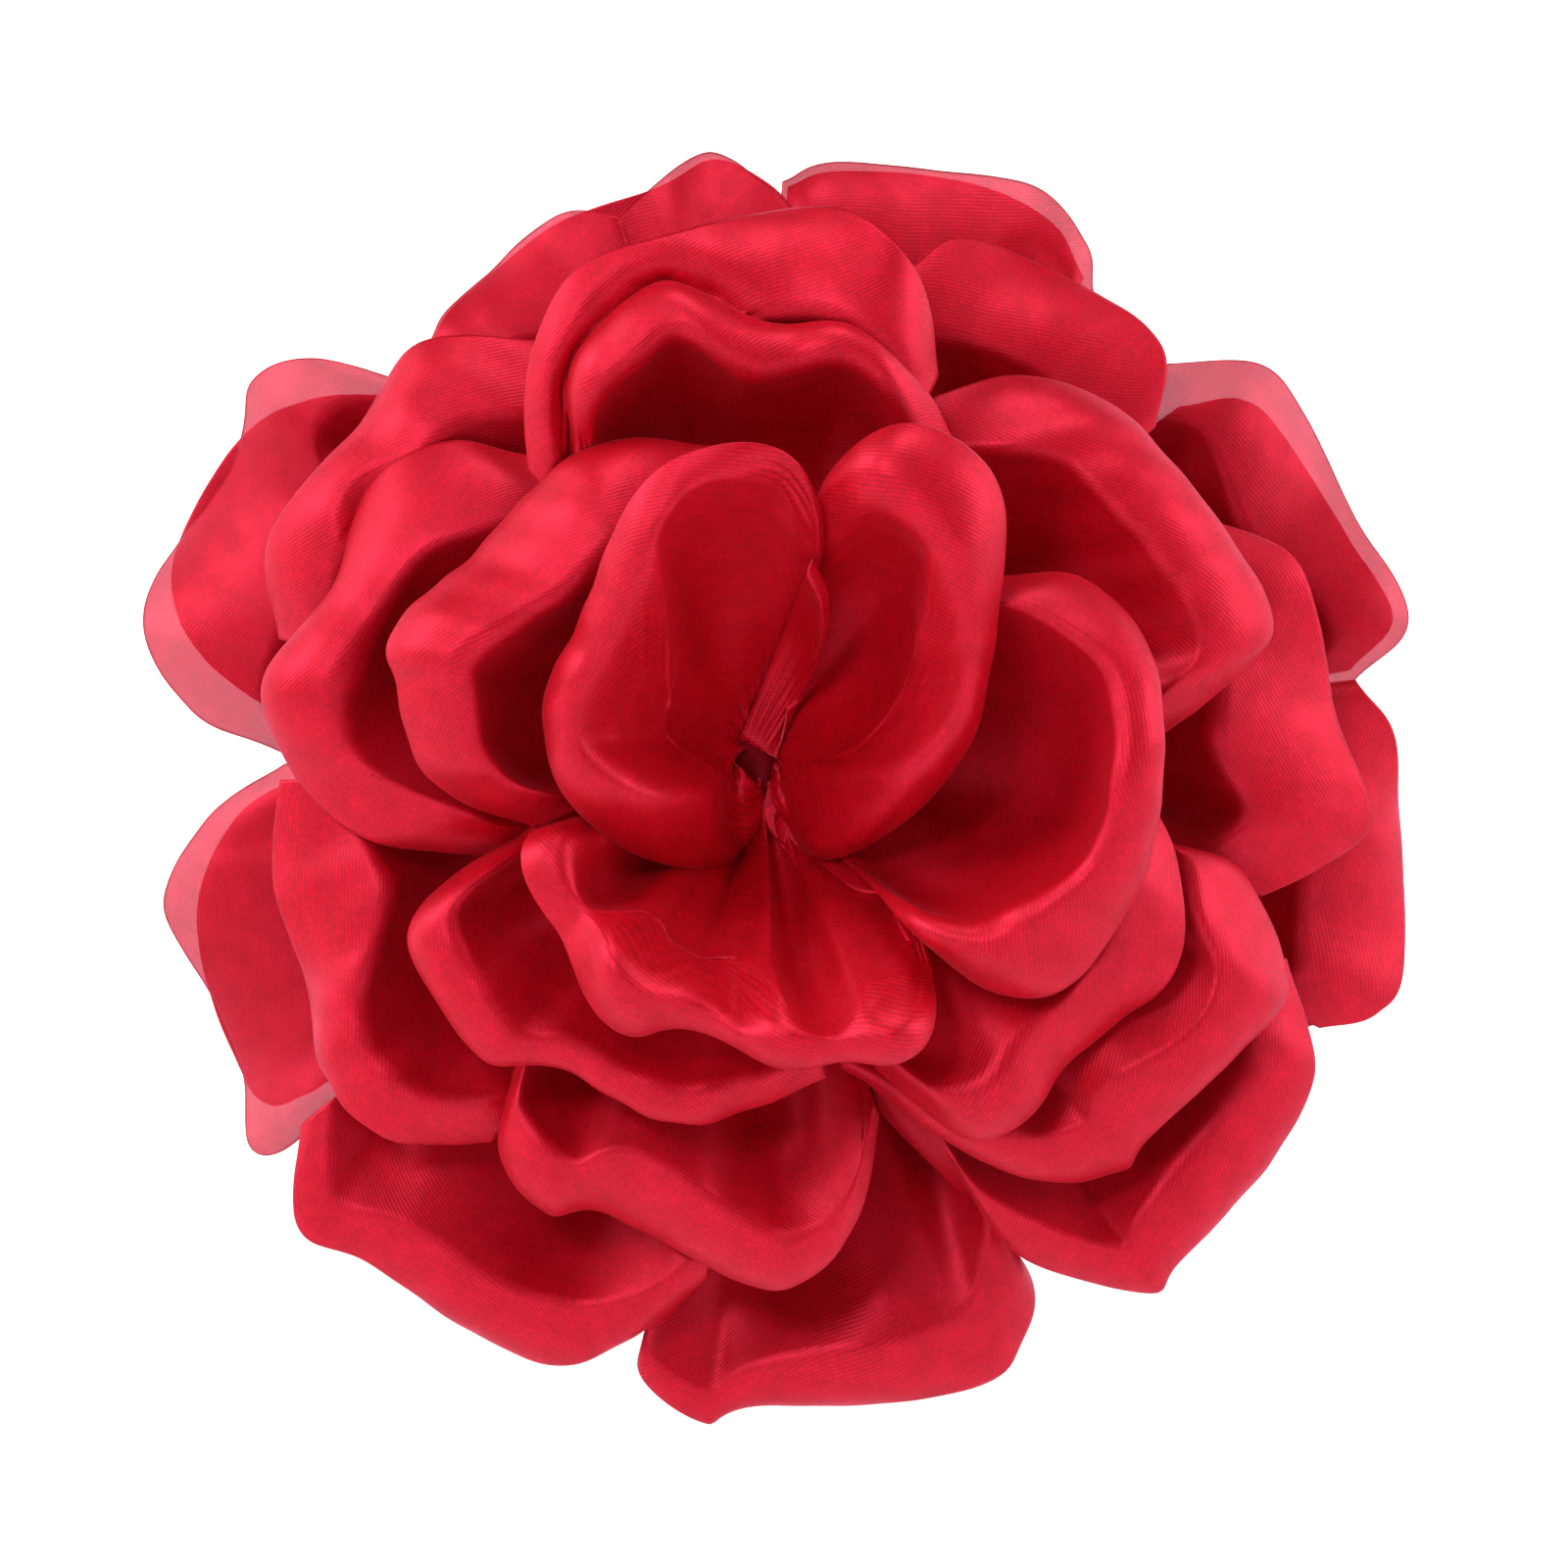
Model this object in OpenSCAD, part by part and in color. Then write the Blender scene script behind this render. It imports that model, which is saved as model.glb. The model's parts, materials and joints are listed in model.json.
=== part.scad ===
// Flower hair clip: a full satin flower glued and covered on a flat steel clip.
//
// The sub-parts are drawn face up: X to the flower's right, Y to its top and Z out of its
// face. Every module then stands the part upright, so that in the finished model the face
// looks along -Y and +Z is up. Z = 0 is the head side of the clip's moving jaw, and the
// flower's centre line is the Z axis of the drawing.

/* [Flower] */
// Width of the open flower
flower_w = 120; // [100:1:140]
// Thickness of the petal satin
petal_t = 0.2; // [0.15:0.05:0.2]
// Height of the bundle of petal roots
stack_h = 14; // [13:0.5:18]
// How far the innermost petals stand up from their roots
front_rise = 38; // [30:1:42]
// How far the backmost petals stand up from their roots
back_rise = 1.5; // [1:0.1:3]

/* [Backing] */
// Radius of the stiff base disc
base_r = 21; // [20:0.5:24]
// Thickness of the base disc
base_t = 1.4; // [1:0.1:2]
// Radius of the felt disc
felt_r = 23; // [22:0.5:26]
// Thickness of the felt disc
felt_t = 2; // [1.5:0.1:3]
// Length of the felt patch along the clip
patch_l = 16; // [12:0.5:16]
// Width of the felt patch across the clip
patch_w = 30; // [26:1:34]
// Thickness of the felt patch
patch_t = 0.9; // [0.6:0.1:1]

/* [Clip] */
// Thickness of the clip's sheet steel
sheet_t = 0.7; // [0.6:0.05:0.8]
// Width of the jaws
jaw_w = 9; // [8.5:0.25:11]
// Width of the jaws at the tip
tip_w = 5.5; // [5:0.25:6]
// Length from the hinge to the tip
jaw_l = 42; // [40:1:46]
// Length from the hinge to the end of the levers
lever_l = 16; // [14:0.5:18]
// Gap between the closed jaws
grip_gap = 1.2; // [1.2:0.05:1.4]
// Slope of the lever that is pressed
lever_angle = 22; // [20:1:24]
// Radius of the hinge pin
pin_r = 1; // [0.9:0.05:1.05]
// Diameter of the spring wire
wire_d = 0.8; // [0.7:0.05:0.8]

/* [Hidden] */
$fn = 96;

// Backing and clip positions along the drawing's Z
hinge_x = 16;
hinge_drop = 2.4;
fixed_z = sheet_t + grip_gap;
felt_z = fixed_z + sheet_t;
base_z = felt_z + felt_t;
petal_z = base_z + base_t;
hinge_z = fixed_z - hinge_drop;
moving_hinge_z = hinge_z - hinge_drop;

// Clip details
ear_r = 2.2;
ear_gap = 0.15;
pin_play = 0.05;
rivet_play = 0.02;
rivet_r = 1.5;
rivet_t = 0.5;
moving_w = jaw_w - 0.6;
crank_start = hinge_x - 11;
crank_end = hinge_x - 3.5;
flare_start = hinge_x + 3;
lever_end = hinge_x + lever_l;
tip_x = hinge_x - jaw_l;
taper_l = 16;
tooth_pitch = 1.5;
tooth_h = 1;
tooth_count = 7;
coil_turns = 6;
leg_l = 9.5;

// Petals, from the frontmost to the backmost, each with the rim of its outline as seen from
// the front of a flower 120 wide. The rim runs from one side of the petal to the other, and
// straight sides join its ends to the root.
PETALS = [
    ["inner_petal_1", [[5.5, 18.5], [7, 15], [6.8, 11], [5.5, 7.5], [3, 4.5]]],
    ["inner_petal_2", [[2.5, 11], [5.5, 20], [2.5, 28], [-5.5, 28.5], [-11, 25], [-15, 16], [-20, 6],
                       [-18, -3], [-13, -8.5], [-5.5, -10.5], [-0.5, -8], [1, -3.5]]],
    ["inner_petal_3", [[3, 6], [5, 14], [6.5, 25], [14.5, 30.5], [22, 27], [23.5, 20], [23.5, 9],
                       [20, 0], [14, -7], [6.5, -10], [2, -6], [1, -3]]],
    ["inner_petal_4", [[23, 17], [31, 17], [37, 11], [38.5, 3], [37, -11], [31, -21], [24.5, -23],
                       [17.5, -19], [9, -10]]],
    ["inner_petal_5", [[-16.5, -5.5], [-21, -9], [-20, -16.5], [-13, -25], [-7, -26.5], [7.5, -30],
                       [15, -27.5], [18, -22], [16, -17], [7, -9]]],
    ["inner_petal_6", [[-4.5, 29.5], [-13, 30], [-21, 25.5], [-33, 12.5], [-33.5, 7], [-31, -2.5],
                       [-21, -7]]],
    ["middle_petal_1", [[-17.5, 28.5], [-17, 37], [-9, 45], [0, 41], [9, 40.5], [16, 35], [18.5, 29.5]]],
    ["middle_petal_2", [[-21, 27], [-21.5, 36], [-17.5, 45.5], [-9, 49], [6.5, 52], [14, 46.5], [17, 36]]],
    ["middle_petal_3", [[37, -3], [40, -10], [39.5, -20], [35, -26], [28.5, -30.5], [24, -35.5],
                        [19, -36], [11.5, -30]]],
    ["middle_petal_4", [[17, 34], [25, 36.5], [34, 34], [39.5, 27.5], [49, 14], [46, 7], [38, 0]]],
    ["middle_petal_5", [[-21, -7.5], [-31, -14.5], [-32, -20], [-26, -29], [-19, -30], [-9, -34.5],
                        [0, -34], [7, -31]]],
    ["middle_petal_6", [[-21, 29], [-29, 30], [-37, 25.5], [-41, 16], [-46, 6], [-44.5, -2], [-36, -8],
                        [-25, -9.5]]],
    ["middle_petal_7", [[39, -8.5], [46, -11], [50, -20], [49, -25], [37.5, -35.5], [35, -40],
                        [25.5, -40], [8, -30]]],
    ["middle_petal_8", [[-23.5, -30], [-25, -38], [-20, -44], [-14, -44], [2.5, -51], [10, -44.5],
                        [11.5, -34]]],
    ["middle_petal_9", [[-44.5, -2.5], [-46, -11.5], [-43, -20], [-41, -30.5], [-35, -36], [-25, -36.5]]],
    ["middle_petal_10", [[-21, 40], [-32, 39], [-38, 30], [-46, 21], [-45, 11]]],
    ["outer_petal_1", [[43, 22.5], [51.5, 18], [55.5, 3], [58.5, -6], [54, -10.5], [48, -13.5]]],
    ["outer_petal_2", [[50, -19.5], [53, -30], [49, -38.5], [40, -48], [37, -51], [25, -47.5], [19, -39]]],
    ["outer_petal_3", [[15, 46], [20, 49], [29.5, 45.5], [38.5, 39], [38, 31]]],
    ["outer_petal_4", [[-43, -35], [-43, -44.5], [-37, -48], [-27, -54.5], [-19, -58], [-12, -55.5],
                       [-4.5, -49.5]]],
    ["outer_petal_5", [[-31, 39], [-28.5, 43.5], [-19, 51], [-13, 51]]],
    ["outer_petal_6", [[-13.5, 50.5], [-5, 57.5], [0.5, 54.5], [3, 52]]],
    ["outer_petal_7", [[2.5, 54.5], [8, 56], [25, 54.5], [31, 48.5], [32, 44]]],
    ["outer_petal_8", [[11.5, -34], [25, -48.5], [25, -56], [20, -60], [0, -62], [-5, -63.5], [-11, -57.5],
                       [-4.5, -49.5]]],
    ["outer_petal_9", [[-44.5, -1], [-52, -6], [-56.5, -14], [-52.5, -22], [-49, -31], [-47, -37.5],
                       [-40, -33]]],
    ["outer_petal_10", [[-34, 35.5], [-42, 37.5], [-48, 35.5], [-50, 28.5], [-58, 14], [-54, 4],
                        [-44.5, -0.5]]],
    ["outer_petal_11", [[39, 37], [48, 37], [52.5, 32], [57, 22.5], [61.5, 13], [56.5, 7]]],
    ["outer_petal_12", [[56.5, 7], [61, 0], [61, -19], [58.5, -24], [53, -25.5]]],
    ["back_petal_1", [[40, 33], [46, 33.5], [50, 30], [56, 20], [60, 13], [56, 8]]],
    ["back_petal_2", [[56, 6], [60.5, 0], [60.5, -18.5], [58, -23.5], [52, -25.5]]],
    ["back_petal_3", [[51, -24], [52, -30], [48, -38.5], [39.5, -47.5], [36.5, -50], [25, -46.5], [20, -40]]],
    ["back_petal_4", [[24, -46], [23.5, -55], [19, -58.5], [12, -58.5], [9, -44]]],
    ["back_petal_5", [[-7, -52], [-12, -54.5], [-19, -57], [-27, -53.5], [-37, -47], [-41, -43], [-40, -35]]],
    ["back_petal_6", [[-42, -32], [-46, -33], [-49, -29], [-53, -14], [-49, -6], [-42, -2]]],
    ["back_petal_7", [[-43, 3], [-52, 9], [-55.5, 18], [-49, 29.5], [-42, 33.5], [-34, 34]]],
    ["back_petal_8", [[-31, 38], [-28, 43], [-19, 50], [-9, 53.5], [-4, 56], [1, 54], [5, 50]]],
    ["back_petal_9", [[3, 53.5], [8, 55], [21, 53.5], [28, 50], [31, 45]]],
];

// Petal layers: level 1 is the frontmost petal and level 0 the backmost. Each level is a bowl
// about the centre line, and every bowl lies wholly in front of the one before it.
plan_scale = flower_w / 120;
bowl_r = 16;
rim_droop = 0.35;
front_root_r = 2;
back_root_r = 17;
RINGS = [0, 2, 4, 6.5, 9, 12, 15, 18, 24, 32, 42, 54, 68];
rim_steps = 4;
bundle_overlap = 0.02;

function level(i) = 1 - i / (len(PETALS) - 1);
function bowl(r) = (1 - exp(-r / bowl_r)) * (1 - rim_droop * pow(r / 62, 2));
function rise(u) = back_rise + front_rise * pow(u, 1.6);
function bowl_z(u, r) = petal_z + stack_h * u + rise(u) * bowl(r);
function bowl_t(u, r) = petal_t * sqrt(1 + pow(rise(u) * exp(-r / bowl_r) / bowl_r, 2));
function root_r(u) = front_root_r + (back_root_r - front_root_r) * (1 - u);

// Smooth open curve through points
function curve_point(a, b, c, d, t) =
    0.5 * (2 * b + (c - a) * t + (2 * a - 5 * b + 4 * c - d) * t * t + (3 * b - a - 3 * c + d) * t * t * t);
function curve(p) = let (last = len(p) - 1) concat(
    [for (i = [0:last - 1], k = [0:rim_steps - 1])
        curve_point(p[max(i - 1, 0)], p[i], p[i + 1], p[min(i + 2, last)], k / rim_steps)],
    [p[last]]);

// Ends of a petal's root, on the side of the rim's last point first
function mean(p) = [for (k = [0, 1]) [for (q = p) q[k]] * [for (q = p) 1] / len(p)];
function root_ends(rim, u) =
    let (m = mean(rim), e = m / norm(m), n = [-e[1], e[0]],
         side = sign((rim[len(rim) - 1] - m) * n), half = 1.5 + 0.25 * root_r(u))
    [0.9 * root_r(u) * e + side * half * n, 0.9 * root_r(u) * e - side * half * n];

module upright() {
    rotate([90, 0, 0]) children();
}

module petal(rim, i) {
    u = level(i);
    color("crimson") upright() scale([plan_scale, plan_scale, 1]) intersection() {
        rotate_extrude() polygon(concat(
            [for (r = RINGS) [r, bowl_z(u, r)]],
            [for (k = [len(RINGS) - 1:-1:0]) [RINGS[k], bowl_z(u, RINGS[k]) + bowl_t(u, RINGS[k])]]));
        linear_extrude(100) difference() {
            polygon(concat(curve(rim), root_ends(rim, u)));
            circle(root_r(u));
        }
    }
}

// Gathered petal roots, bound and glued into one dome under the petals
module root_bundle() {
    rings = [for (r = RINGS) if (r >= front_root_r && r < back_root_r) r];
    level_at = [for (r = rings) 1 - (r - front_root_r) / (back_root_r - front_root_r)];
    top = [for (i = [0:len(rings) - 1]) [rings[i], bowl_z(level_at[i], rings[i]) + bundle_overlap]];
    color("firebrick") upright() scale([plan_scale, plan_scale, 1]) rotate_extrude() polygon(concat(
        [[0, petal_z], [0, top[0][1]]], top,
        [[back_root_r, bowl_z(0, back_root_r) + bundle_overlap], [back_root_r, petal_z]]));
}

module base_disc() {
    color("darkred") upright() translate([0, 0, base_z]) cylinder(r = base_r, h = base_t);
}

module felt_disc() {
    color("firebrick") upright() translate([0, 0, felt_z]) cylinder(r = felt_r, h = felt_t);
}

// Patch glued over the fixed jaw, flat on the felt disc at both sides of it
module felt_patch() {
    slot = jaw_w / 2 + 0.1;
    crown = slot + 0.3;
    foot = crown + 1.8;
    edge = patch_w / 2;
    color("firebrick") upright() intersection() {
        translate([crank_start - 1, 0, 0]) rotate([90, 0, -90]) linear_extrude(patch_l) polygon([
            [-edge, felt_z], [-slot, felt_z], [-slot, fixed_z], [slot, fixed_z], [slot, felt_z],
            [edge, felt_z], [edge, felt_z - patch_t], [foot, felt_z - patch_t],
            [crown, fixed_z - patch_t], [-crown, fixed_z - patch_t],
            [-foot, felt_z - patch_t], [-edge, felt_z - patch_t]]);
        translate([crank_start - 1 - patch_l / 2, 0, 0])
            linear_extrude(20) rounded_plate(patch_l, patch_w, 4);
    }
}

module rounded_plate(l, w, r) {
    square([l - 2 * r, w], center = true);
    square([l, w - 2 * r], center = true);
    for (x = [-1, 1], y = [-1, 1]) translate([x * (l / 2 - r), y * (w / 2 - r)]) circle(r);
}

// Outline of a jaw and its lever seen from the head: tapered to a round tip, round at the lever
module jaw_outline(w) {
    lever_c = lever_end - w / 2;
    tip_c = tip_x + tip_w / 2;
    polygon([[tip_c, -tip_w / 2], [tip_c + taper_l, -w / 2], [lever_c, -w / 2],
             [lever_c, w / 2], [tip_c + taper_l, w / 2], [tip_c, tip_w / 2]]);
    translate([tip_c, 0]) circle(tip_w / 2);
    translate([lever_c, 0]) circle(w / 2);
}

// Extrudes a side view, drawn with Z along the drawing's Y, across the clip from y = from
module across(from, w) {
    translate([0, from + w, 0]) rotate([90, 0, 0]) linear_extrude(w) children();
}

// One pair of hinge ears, from the plate at z = root to a round end about the hinge
module ears(outer, root, r) {
    for (y = [-outer, outer - sheet_t]) across(y, sheet_t) {
        translate([hinge_x - r, min(root, hinge_z)]) square([2 * r, abs(root - hinge_z)]);
        translate([hinge_x, hinge_z]) circle(r);
    }
}

module pin_hole(r) {
    translate([hinge_x, jaw_w, hinge_z]) rotate([90, 0, 0]) cylinder(r = r, h = 2 * jaw_w);
}

module fixed_jaw() {
    color("silver") upright() difference() {
        union() {
            translate([0, 0, fixed_z]) linear_extrude(sheet_t) jaw_outline(jaw_w);
            ears(jaw_w / 2, fixed_z + sheet_t / 2, ear_r);
        }
        pin_hole(pin_r + rivet_play);
    }
}

// Side view of the moving jaw's strip: flat jaw, crank up to the hinge, flared lever
module moving_strip() {
    flare = (lever_end - flare_start) * tan(lever_angle);
    inner = [[tip_x, sheet_t], [crank_start, sheet_t], [crank_end, moving_hinge_z],
             [flare_start, moving_hinge_z], [lever_end, moving_hinge_z - flare]];
    polygon(concat(inner, [for (i = [len(inner) - 1:-1:0]) inner[i] - [0, sheet_t]]));
}

// Side view of one row of teeth on the moving jaw's inner face
module teeth() {
    for (i = [0:tooth_count - 1]) translate([tip_x + 2 + i * tooth_pitch, sheet_t])
        polygon([[0, -sheet_t / 2], [tooth_pitch, -sheet_t / 2], [tooth_pitch, 0],
                 [tooth_pitch / 2, tooth_h], [0, 0]]);
}

module moving_jaw() {
    row_y = tip_w / 2 - sheet_t;
    color("silver") upright() difference() {
        union() {
            intersection() {
                across(-jaw_w, 2 * jaw_w) moving_strip();
                translate([0, 0, -50]) linear_extrude(100) jaw_outline(moving_w);
            }
            ears(jaw_w / 2 - sheet_t - ear_gap, moving_hinge_z - sheet_t / 2, ear_r - 0.2);
            for (y = [-row_y - sheet_t / 2, row_y - sheet_t / 2]) across(y, sheet_t) teeth();
        }
        pin_hole(pin_r + pin_play);
    }
}

// Pin with a peened head outside each ear of the fixed jaw
module hinge_pin() {
    color("gray") upright() translate([hinge_x, jaw_w / 2, hinge_z]) rotate([90, 0, 0]) {
        cylinder(r = pin_r, h = jaw_w);
        translate([0, 0, -rivet_t]) cylinder(r = rivet_r, h = rivet_t);
        translate([0, 0, jaw_w]) cylinder(r = rivet_r, h = rivet_t);
    }
}

// Straight length of spring wire between two points of the side view, at y. It is drawn a
// little thinner than the coil, which it meets along its side.
module wire(y, from, to) {
    run = to - from;
    translate([from[0], y, from[1]]) rotate([0, atan2(run[0], run[1]), 0])
        cylinder(d = 0.9 * wire_d, h = norm(run));
}

// Torsion spring: close-wound coil about the pin, with one leg on each lever
module spring() {
    coil_l = coil_turns * wire_d;
    inner_r = pin_r + 0.12;
    mean_r = inner_r + wire_d / 2;
    end_y = coil_l / 2 - wire_d / 2;
    lift = wire_d / 2 + 0.08;
    knee = [flare_start + 0.2, moving_hinge_z + lift];
    slope = [1, -tan(lever_angle)];
    color("lightgray") upright() {
        translate([hinge_x, coil_l / 2, hinge_z]) rotate([90, 0, 0]) difference() {
            cylinder(r = inner_r + wire_d, h = coil_l);
            translate([0, 0, -1]) cylinder(r = inner_r, h = coil_l + 2);
        }
        wire(end_y, [hinge_x, hinge_z + mean_r], [hinge_x + leg_l, fixed_z - lift]);
        wire(-end_y, [hinge_x, hinge_z - mean_r], knee);
        wire(-end_y, knee - 0.3 * slope, knee + (leg_l - 3) * slope);
    }
}

for (i = [0:len(PETALS) - 1])
    petal(PETALS[i][1], i);
root_bundle();
base_disc();
felt_disc();
felt_patch();
fixed_jaw();
moving_jaw();
hinge_pin();
spring();
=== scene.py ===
"""Looks for the flower hair clip: ruffled satin petals, felt back and sprung steel clip.

Petals are worked out in millimetres in the flower's own view: x to its right, z to its top
and d, the depth towards the viewer, which is -Y of the row frame.
"""
import json
import math
import bpy
import numpy as np
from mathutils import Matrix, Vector


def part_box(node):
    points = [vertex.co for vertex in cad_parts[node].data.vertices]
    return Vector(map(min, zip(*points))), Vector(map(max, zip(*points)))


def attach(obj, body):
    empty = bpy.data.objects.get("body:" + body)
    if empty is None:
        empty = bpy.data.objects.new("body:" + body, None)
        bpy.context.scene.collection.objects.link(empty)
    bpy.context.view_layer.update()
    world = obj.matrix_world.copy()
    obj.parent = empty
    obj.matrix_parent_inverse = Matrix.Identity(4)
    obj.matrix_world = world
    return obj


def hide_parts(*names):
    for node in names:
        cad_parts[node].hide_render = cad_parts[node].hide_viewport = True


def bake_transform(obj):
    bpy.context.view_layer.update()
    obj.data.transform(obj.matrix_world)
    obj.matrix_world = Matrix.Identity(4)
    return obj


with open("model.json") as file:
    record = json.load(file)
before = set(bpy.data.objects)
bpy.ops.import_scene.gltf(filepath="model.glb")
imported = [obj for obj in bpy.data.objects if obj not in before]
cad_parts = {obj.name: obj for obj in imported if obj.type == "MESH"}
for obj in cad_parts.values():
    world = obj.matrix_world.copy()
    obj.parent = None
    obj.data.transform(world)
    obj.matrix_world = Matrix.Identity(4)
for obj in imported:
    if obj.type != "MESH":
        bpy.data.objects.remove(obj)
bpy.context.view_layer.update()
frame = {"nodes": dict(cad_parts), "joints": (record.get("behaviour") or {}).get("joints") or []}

MM = 0.001

# ---- the flower's layers, as in the CAD model -------------------------------------------------

PETAL_D = 6.0          # depth of the base disc's front
STACK_H = 14.0         # height of the bundle of petal roots
FRONT_RISE = 38.0      # how much further than the rearmost the frontmost layer's bowl rises
BACK_RISE = 1.5        # how far the rearmost layer's bowl rises from its root
BOWL_R = 16.0          # radius over which a bowl does most of its rising
RIM_DROOP = 0.35       # share of the rise that is lost again at FLOWER_R
FLOWER_R = 62.0
FRONT_ROOT_R = 2.0     # radius at which the frontmost petals leave the root bundle
BACK_ROOT_R = 17.0     # the same for the rearmost petals
SATIN_T = 0.2          # thickness of the satin
SEEN_D = 25.0          # depth at which the rims below were laid out, in a view from SEEN_FROM away
SEEN_FROM = 740.0
GAP = 0.45             # clear depth aimed for between two petals' middle surfaces

# Each petal, frontmost first: its rim as seen from the front, and values read along the rim
# from its first point to its last. The wall of the petal turns over a tight fold, of radius
# ridge in mm, into a skirt of cloth, skirt mm long, which leaves the fold at the angle roll
# and has bent to the angle edge at the cut edge. At 0 degrees it faces the viewer and at 90 it
# points straight back. lift is the fold's height over the layer's bowl, and cup is how many
# degrees steeper than the straight way from its root the wall is where it meets the fold.
# fold_room is the most of the petal's length that fold and skirt may take. vary scales the
# chance unevenness along the rim, and folds the soft folds and the flutter. gathers is the
# number of gathers at the root, gather their height and gather_l how far up they reach, in mm.
# sheer marks satin that can be seen through.
USUAL = dict(cup=[20, 32, 32, 20], fold_room=0.66, vary=1, folds=1, gather=0.8, gather_l=11, sheer=False)
OUTER = dict(folds=0.55, ridge=[2.5], roll=[5, 15, 12, 5], edge=[25, 50, 45, 25], skirt=[8, 11, 11, 8],
             cup=[20, 40, 40, 20], lift=[-1, 0, 0, -1])
BACK = dict(ridge=[3], roll=[5], edge=[15], skirt=[6], lift=[0])
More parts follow.
